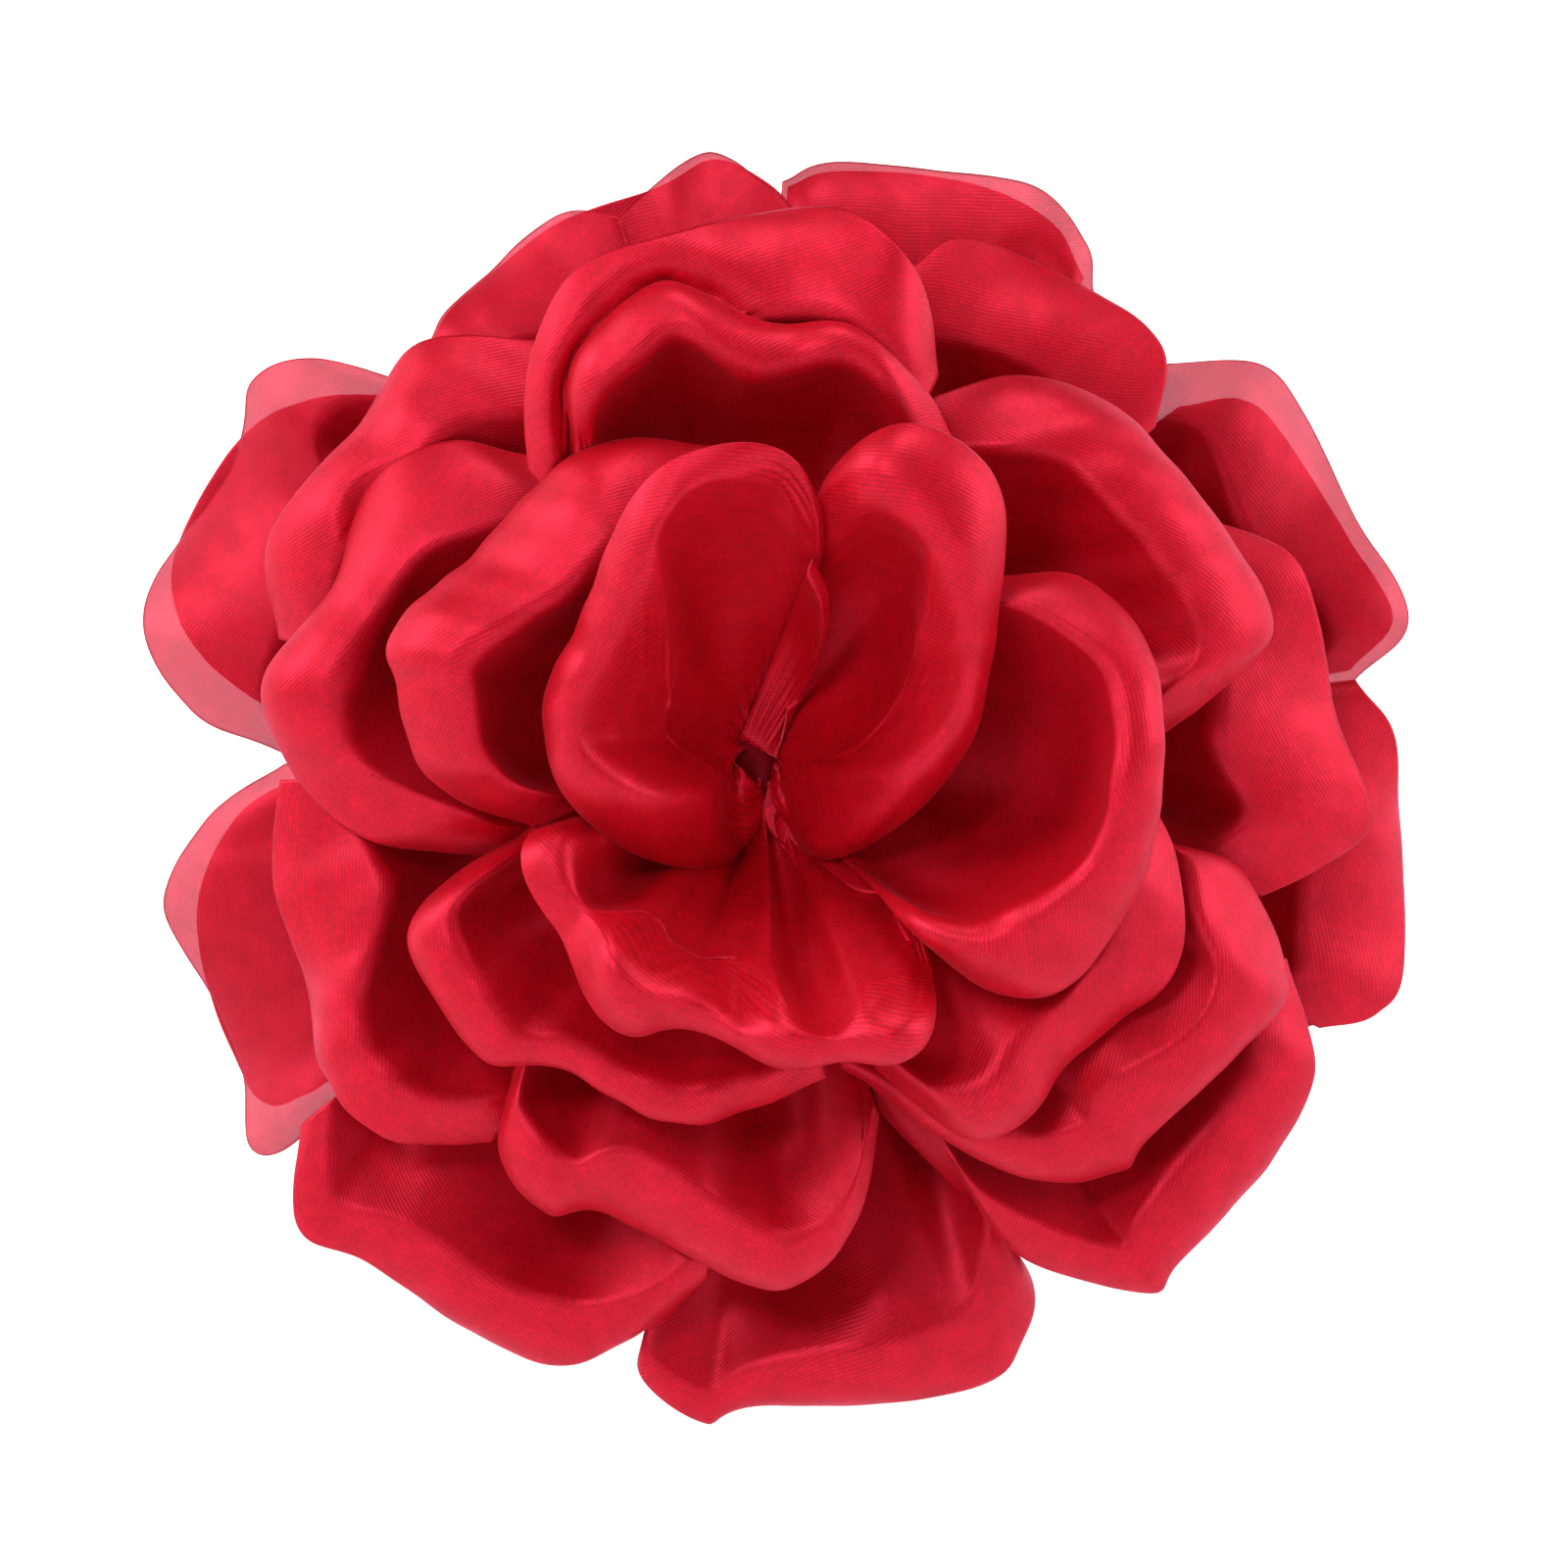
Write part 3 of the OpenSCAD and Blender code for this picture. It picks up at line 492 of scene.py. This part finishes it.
def satin(name, deep, light, sheer):
    """Red satin: fine diagonal twill, a soft sheen, and a little light let through."""
    n = Nodes(name)
    uv = n.add("ShaderNodeUVMap", uv_map="flat")
    turned = n.add("ShaderNodeMapping")
    n.link(uv.outputs[0], turned.inputs[0])
    turned.inputs["Rotation"].default_value = (0, 0, math.radians(TWILL_TURN))
    twill = n.add("ShaderNodeTexWave", wave_type="BANDS", bands_direction="X",
                  Scale=1 / TWILL_PITCH / WAVE_LINES, Distortion=0.6, Detail=1.0, Detail_Scale=1.5)
    n.link(turned.outputs[0], twill.inputs["Vector"])
    slub = n.add("ShaderNodeTexNoise", Scale=0.35, Detail=4.0, Roughness=0.6)
    n.link(uv.outputs[0], slub.inputs["Vector"])
    tone = ramp(n, slub.outputs["Fac"], [(0.3, deep), (0.7, light)])
    shade = ramp(n, twill.outputs["Fac"], [(0.2, (0.8, 0.72, 0.76, 1)), (0.7, (1, 1, 1, 1))])
    lines = n.add("ShaderNodeMix", data_type="RGBA", blend_type="MULTIPLY")
    lines.inputs[0].default_value = 1.0
    n.link(tone, lines.inputs[6])
    n.link(shade, lines.inputs[7])
    grain = n.add("ShaderNodeTexNoise", Scale=2.2, Detail=3.0, Roughness=0.7)
    n.link(uv.outputs[0], grain.inputs["Vector"])
    speck = ramp(n, grain.outputs["Fac"], [(0.38, (0.78, 0.6, 0.68, 1)), (0.62, (1, 1, 1, 1))])
    grained = n.add("ShaderNodeMix", data_type="RGBA", blend_type="MULTIPLY")
    grained.inputs[0].default_value = 1.0
    n.link(lines.outputs[2], grained.inputs[6])
    n.link(speck, grained.inputs[7])
    colour = grained.outputs[2]
    rough = ramp(n, slub.outputs["Fac"], [(0.2, (0.5,) * 3 + (1,)), (0.8, (0.42,) * 3 + (1,))])
    bump = n.add("ShaderNodeBump", Strength=0.3, Distance=0.00003)
    n.link(twill.outputs["Fac"], bump.inputs["Height"])
    body = n.add("ShaderNodeBsdfPrincipled")
    n.link(colour, body.inputs["Base Color"])
    n.link(rough, body.inputs["Roughness"])
    n.link(bump.outputs[0], body.inputs["Normal"])
    body.inputs["Metallic"].default_value = 0.4
    body.inputs["Specular IOR Level"].default_value = 0.62
    body.inputs["Specular Tint"].default_value = (1.0, 0.52, 0.97, 1)
    body.inputs["Sheen Weight"].default_value = 0.06
    body.inputs["Sheen Roughness"].default_value = 0.35
    body.inputs["Sheen Tint"].default_value = (1.0, 0.3, 0.4, 1)
    through = n.add("ShaderNodeBsdfTranslucent")
    n.link(colour, through.inputs["Color"])
    lit = n.add("ShaderNodeMixShader", Fac=0.07)
    n.link(body.outputs[0], lit.inputs[1])
    n.link(through.outputs[0], lit.inputs[2])
    clear = n.add("ShaderNodeBsdfTransparent", Color=(0.96, 0.78, 0.86, 1))
    mix = n.add("ShaderNodeMixShader", Fac=sheer)
    n.link(lit.outputs[0], mix.inputs[1])
    n.link(clear.outputs[0], mix.inputs[2])
    n.link(mix.outputs[0], n.out.inputs["Surface"])
    return n.material


def felt(name, dark, light):
    """Matted wool: mottled colour and a fibrous bump."""
    n = Nodes(name)
    where = n.add("ShaderNodeTexCoord").outputs["Object"]
    fibres = n.add("ShaderNodeTexNoise", Scale=2600.0, Detail=6.0, Roughness=0.75, Distortion=1.5)
    n.link(where, fibres.inputs["Vector"])
    patches = n.add("ShaderNodeTexNoise", Scale=300.0, Detail=3.0)
    n.link(where, patches.inputs["Vector"])
    colour = ramp(n, patches.outputs["Fac"], [(0.35, dark), (0.65, light)])
    bump = n.add("ShaderNodeBump", Strength=0.9, Distance=0.00025)
    n.link(fibres.outputs["Fac"], bump.inputs["Height"])
    body = n.add("ShaderNodeBsdfPrincipled", Roughness=0.95)
    n.link(colour, body.inputs["Base Color"])
    n.link(bump.outputs[0], body.inputs["Normal"])
    body.inputs["Sheen Weight"].default_value = 0.15
    body.inputs["Sheen Roughness"].default_value = 0.6
    body.inputs["Sheen Tint"].default_value = (1.0, 0.4, 0.4, 1)
    body.inputs["Specular IOR Level"].default_value = 0.1
    n.link(body.outputs[0], n.out.inputs["Surface"])
    return n.material


def steel(name, colour, roughness, grain=0.0):
    """Plated or drawn steel with faint rubbing marks."""
    n = Nodes(name)
    where = n.add("ShaderNodeTexCoord").outputs["Object"]
    stretch = n.add("ShaderNodeMapping", Scale=(60.0, 900.0, 900.0))
    n.link(where, stretch.inputs[0])
    lines = n.add("ShaderNodeTexNoise", Scale=1.0, Detail=5.0, Roughness=0.6)
    n.link(stretch.outputs[0], lines.inputs["Vector"])
    rough = ramp(n, lines.outputs["Fac"], [(0.3, (roughness * 0.7,) * 3 + (1,)),
                                           (0.7, (roughness * 1.4,) * 3 + (1,))])
    tone = ramp(n, lines.outputs["Fac"], [(0.2, tuple(0.9 * c for c in colour) + (1,)),
                                          (0.8, colour + (1,))])
    bump = n.add("ShaderNodeBump", Strength=0.1 + grain, Distance=0.00003)
    n.link(lines.outputs["Fac"], bump.inputs["Height"])
    body = n.add("ShaderNodeBsdfPrincipled", Metallic=1.0)
    n.link(tone, body.inputs["Base Color"])
    n.link(rough, body.inputs["Roughness"])
    n.link(bump.outputs[0], body.inputs["Normal"])
    n.link(body.outputs[0], n.out.inputs["Surface"])
    return n.material


SATIN = satin("red_satin", (0.65, 0.0, 0.006, 1), (0.82, 0.001, 0.017, 1), 0.02)
SHEER = satin("sheer_red_satin", (0.65, 0.0, 0.006, 1), (0.82, 0.001, 0.017, 1), 0.32)
# the roots' satin is the petals' satin painted much darker: painted shade for the deep centre of the flower
ROOTS_PAINTED_SHADE = satin("gathered_roots_painted_shade", (0.24, 0.0, 0.003, 1), (0.34, 0.0, 0.006, 1), 0.0)
# the cut edge's satin is painted lighter and pinker than the face: a painted highlight along the petals'
# cut edges
SATIN_EDGE_PAINTED_HIGHLIGHT = satin("satin_cut_edge_painted_highlight", (0.8, 0.10, 0.14, 1), (0.9, 0.16, 0.2, 1), 0.0)
FELT = felt("red_felt", (0.30, 0.008, 0.014, 1), (0.42, 0.014, 0.022, 1))
BUCKRAM = felt("red_buckram", (0.24, 0.006, 0.01, 1), (0.36, 0.01, 0.018, 1))
NICKEL = steel("nickel_plate", (0.36, 0.355, 0.34), 0.24)
PIN_STEEL = steel("pin_steel", (0.42, 0.42, 0.43), 0.35)
WIRE_STEEL = steel("spring_wire", (0.4, 0.4, 0.42), 0.35, grain=0.2)


def paint(node, material):
    """Gives a CAD node its finished material."""
    mesh = frame["nodes"][node].data
    mesh.materials.clear()
    mesh.materials.append(material)


# ---- petals -------------------------------------------------------------------------------------------


def make_petal(p, pts, flat):
    obj = grid_object(p["name"] + "_cloth", place(pts), flat)
    obj.data.materials.append(SHEER if p["sheer"] else SATIN)
    # second slot, on the solidified rim: the cut edge with its painted highlight
    obj.data.materials.append(SATIN_EDGE_PAINTED_HIGHLIGHT)
    solidify(obj, SATIN_T * MM, rim_slot=1)
    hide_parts(p["name"])
    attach(obj, "flower")
    return obj


for petal, surface, cloth in lay_petals():
    make_petal(petal, surface, cloth)


# ---- the back: root bundle, discs and patch ---------------------------------------------------------

def make_root_bundle():
    """The gathered roots under the petals: a dome with the pleats running down it."""
    turn = np.linspace(0, math.tau, 240, endpoint=False)[:, None]
    lo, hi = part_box("root_bundle")
    top_d, foot_d = -lo[1] / MM, -hi[1] / MM
    v = np.linspace(0, 1, 30)[None]
    r = BACK_ROOT_R * np.sin(v * math.pi / 2) ** 0.9
    d = foot_d + (top_d - foot_d) * np.clip(1 - v, 0, 1) ** 0.9
    pleats = 1 - 0.05 * (1 + np.sin(44 * turn + 2 * np.sin(5 * turn))) * np.clip(v * 3, 0, 1)
    r = (r * pleats - 0.3).clip(0.05)
    pts = np.stack([r * np.cos(turn), r * np.sin(turn), d + 0 * turn], axis=-1)
    flat = np.stack([turn * 12 + 0 * d, d + 0 * turn], axis=-1)
    obj = grid_object("bound_roots", place(pts), flat, closed=True)
    # painted shade: the roots get the satin darkened to stand in for the shade deep in the centre
    obj.data.materials.append(ROOTS_PAINTED_SHADE)
    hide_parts("root_bundle")
    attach(obj, "flower")


def make_disc(name, node, material, round_r):
    """A round sheet lying flat, with its edges eased."""
    lo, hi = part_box(node)
    radius, near, far = (hi[0] - lo[0]) / 2, lo[1], hi[1]
    turn = np.linspace(0, math.tau, 160, endpoint=False)
    rings = [(0.0, far)] + [(radius * k / 12, far) for k in range(1, 12)]
    for k in range(7):
        a = math.pi / 2 * k / 6
        rings.append((radius - round_r + round_r * math.sin(a), far - round_r + round_r * math.cos(a)))
    for k in range(7):
        a = math.pi / 2 * k / 6
        rings.append((radius - round_r + round_r * math.cos(a), near + round_r - round_r * math.sin(a)))
    rings += [(radius * k / 12, near) for k in range(11, 0, -1)] + [(0.0, near)]
    rng = np.random.default_rng(7)
    ragged = 1 + 0.004 * waves(rng, turn * 20, 0 * turn, 5)
    pts = np.array([[(r * ragged[k] * math.cos(a), y, r * ragged[k] * math.sin(a)) for r, y in rings]
                    for k, a in enumerate(turn)])
    obj = grid_object(name, pts, closed=True)
    obj.data.materials.append(material)
    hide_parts(node)
    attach(obj, "flower")


def make_patch():
    """The felt patch glued over the clip's fixed half, bulging where the steel lies under it."""
    lo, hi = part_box("felt_patch")
    thick, corner, slope = 0.0009, 0.004, 0.0019
    half = (hi[2] - lo[2]) / 2
    crown = min(-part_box("fixed_jaw")[0][2], 0.0047)    # half the width of the raised middle
    x = lo[0] + (hi[0] - lo[0]) * (1 - np.cos(np.linspace(0, math.pi, 70))) / 2
    near = np.minimum(x - lo[0], hi[0] - x)
    w = half - corner + np.sqrt(np.maximum(corner ** 2 - np.maximum(corner - near, 0) ** 2, 0))
    w = np.maximum(w, 0.0002)[:, None]
    z = w * np.linspace(-1, 1, 90)[None]
    ramp_up = np.clip((crown + slope - abs(z)) / slope, 0, 1)
    y = lo[1] + thick / 2 + (hi[1] - lo[1] - thick) * ramp_up ** 2 * (3 - 2 * ramp_up)
    rng = np.random.default_rng(9)
    xx = x[:, None] + 0 * z
    y = y + 0.00005 * waves(rng, xx / MM, z / MM, 5)
    flat = np.stack([xx / MM, z / MM], axis=-1)
    obj = grid_object("patch_felt", np.stack([xx, y, z], axis=-1), flat)
    obj.data.materials.append(FELT)
    solidify(obj, thick - 0.0001)
    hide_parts("felt_patch")
    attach(obj, "flower")


make_root_bundle()
make_disc("base_buckram", "base_disc", BUCKRAM, 0.0004)
make_disc("felt_backing", "felt_disc", FELT, 0.0007)
make_patch()
paint("fixed_jaw", NICKEL)
paint("moving_jaw", NICKEL)
paint("hinge_pin", PIN_STEEL)


# ---- torsion spring ---------------------------------------------------------------------------------

def tube(name, path, radius, sides=12):
    """A round wire along a path of row-frame points, closed at both ends."""
    path = np.array(path)
    along = np.gradient(path, axis=0)
    along /= np.linalg.norm(along, axis=1, keepdims=True)
    first = np.cross(along, [0.3, 0.9, 0.2])
    first /= np.linalg.norm(first, axis=1, keepdims=True)
    second = np.cross(along, first)
    turn = np.linspace(0, math.tau, sides, endpoint=False)[:, None, None]
    rings = path + radius * (np.cos(turn) * first + np.sin(turn) * second)
    rings = np.concatenate([np.broadcast_to(path[:1], (sides, 1, 3)), rings,
                            np.broadcast_to(path[-1:], (sides, 1, 3))], axis=1)
    return grid_object(name, rings, closed=True)


def make_spring():
    """A close-wound coil round the pin, with a leg along each half's lever."""
    hinge = np.array(frame["joints"][0]["pos_m"])
    lo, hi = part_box("spring")
    length = hi[2] - lo[2]
    turns, bore_r = 6, 0.00112
    wire_r = length / turns / 2
    mean_r = bore_r + wire_r
    end = length / 2 - wire_r
    a = np.linspace(0, math.tau * turns, 24 * turns + 1)
    z = np.interp(a, [0, a[-1]], [end, -end])
    # from the fixed lever's side, round the pin, to the moving lever's side
    coil = np.stack([hinge[0] + mean_r * np.sin(a), hinge[1] - mean_r * np.cos(a), z], axis=1)
    fixed_leg = np.array([[hinge[0] + 0.0095, hinge[1] - 0.00192, end],
                          [hinge[0] + 0.0045, hinge[1] - 0.0018, end]])
    moving_leg = np.array([[hinge[0] + 0.0032, hinge[1] + 0.0019, -end],
                           [hinge[0] + 0.0097, hinge[1] + 0.0045, -end]])
    obj = tube("coil_spring", np.vstack([fixed_leg, coil, moving_leg]), wire_r * 0.97)
    obj.data.materials.append(WIRE_STEEL)
    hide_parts("spring")
    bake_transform(obj)


make_spring()


# ---- stage, light and camera ---------------------------------------------------------------------------

def paper(name, colour, glow):
    """Even, matt paper that may glow by itself."""
    n = Nodes(name)
    body = n.add("ShaderNodeBsdfPrincipled", Roughness=0.9)
    body.inputs["Base Color"].default_value = colour
    body.inputs["Emission Color"].default_value = (1, 1, 1, 1)
    body.inputs["Emission Strength"].default_value = glow
    n.link(body.outputs[0], n.out.inputs["Surface"])
    return n.material


def make_backdrop():
    """A pale round floor below the flower, and a white wall curving round the back and sides."""
    floor_z, wall_r, bend = -0.11, 1.3, 0.08
    cove = [(wall_r - bend + bend * math.sin(a), floor_z + bend - bend * math.cos(a))
            for a in np.linspace(0, math.pi / 2, 10)]
    for name, line, start, end, glow in (
            ("floor", [(r, floor_z - 0.0005) for r in (0.0, 1.0, 2.2)], 0, 360, 0.0),
            ("wall", cove + [(wall_r, 0.6), (wall_r, 1.6)], -20, 200, 0.7)):
        turn = np.radians(np.linspace(start, end, 61))
        pts = np.array([[(r * math.cos(a), r * math.sin(a), z) for r, z in line] for a in turn])
        obj = grid_object(name, pts)
        obj.data.materials.append(paper(name + "_paper", (0.9, 0.9, 0.9, 1), glow))


def area_light(name, place_at, aim, size, power):
    data = bpy.data.lights.new(name, "AREA")
    data.shape, data.size, data.energy = "DISK", size, power
    obj = bpy.data.objects.new(name, data)
    obj.location = place_at
    obj.rotation_mode = "QUATERNION"
    obj.rotation_quaternion = (Vector(aim) - Vector(place_at)).to_track_quat("-Z", "Y")
    bpy.context.scene.collection.objects.link(obj)


def make_camera():
    """Straight on, from far enough that the near petals hardly grow."""
    frame_w, lens, sensor, in_front = 0.148, 180, 36, -0.025    # frame_w is seen at y = in_front
    data = bpy.data.cameras.new("camera")
    data.lens, data.sensor_width = lens, sensor
    data.clip_start, data.clip_end = 0.01, 10
    obj = bpy.data.objects.new("camera", data)
    obj.location = (0.0027, in_front - frame_w * lens / sensor, -0.0028)
    obj.rotation_euler = (math.pi / 2, 0, 0)
    bpy.context.scene.collection.objects.link(obj)
    bpy.context.scene.camera = obj


make_backdrop()
area_light("left", (-0.9, -0.42, 0.6), (0, 0, 0), 0.55, 6.3)
area_light("right", (0.95, -0.4, 0.4), (0, 0, 0), 0.55, 4)
area_light("top", (0.1, -0.42, 1.05), (0, 0, 0), 0.55, 5.2)
area_light("front", (-0.4, -1.05, 0.45), (0, 0, 0), 0.3, 4)
world = bpy.data.worlds.new("studio")
world.use_nodes = True
world.node_tree.nodes["Background"].inputs[0].default_value = (1, 1, 1, 1)
world.node_tree.nodes["Background"].inputs[1].default_value = 0.05
bpy.context.scene.world = world
bpy.context.scene.view_settings.view_transform = "Standard"
make_camera()
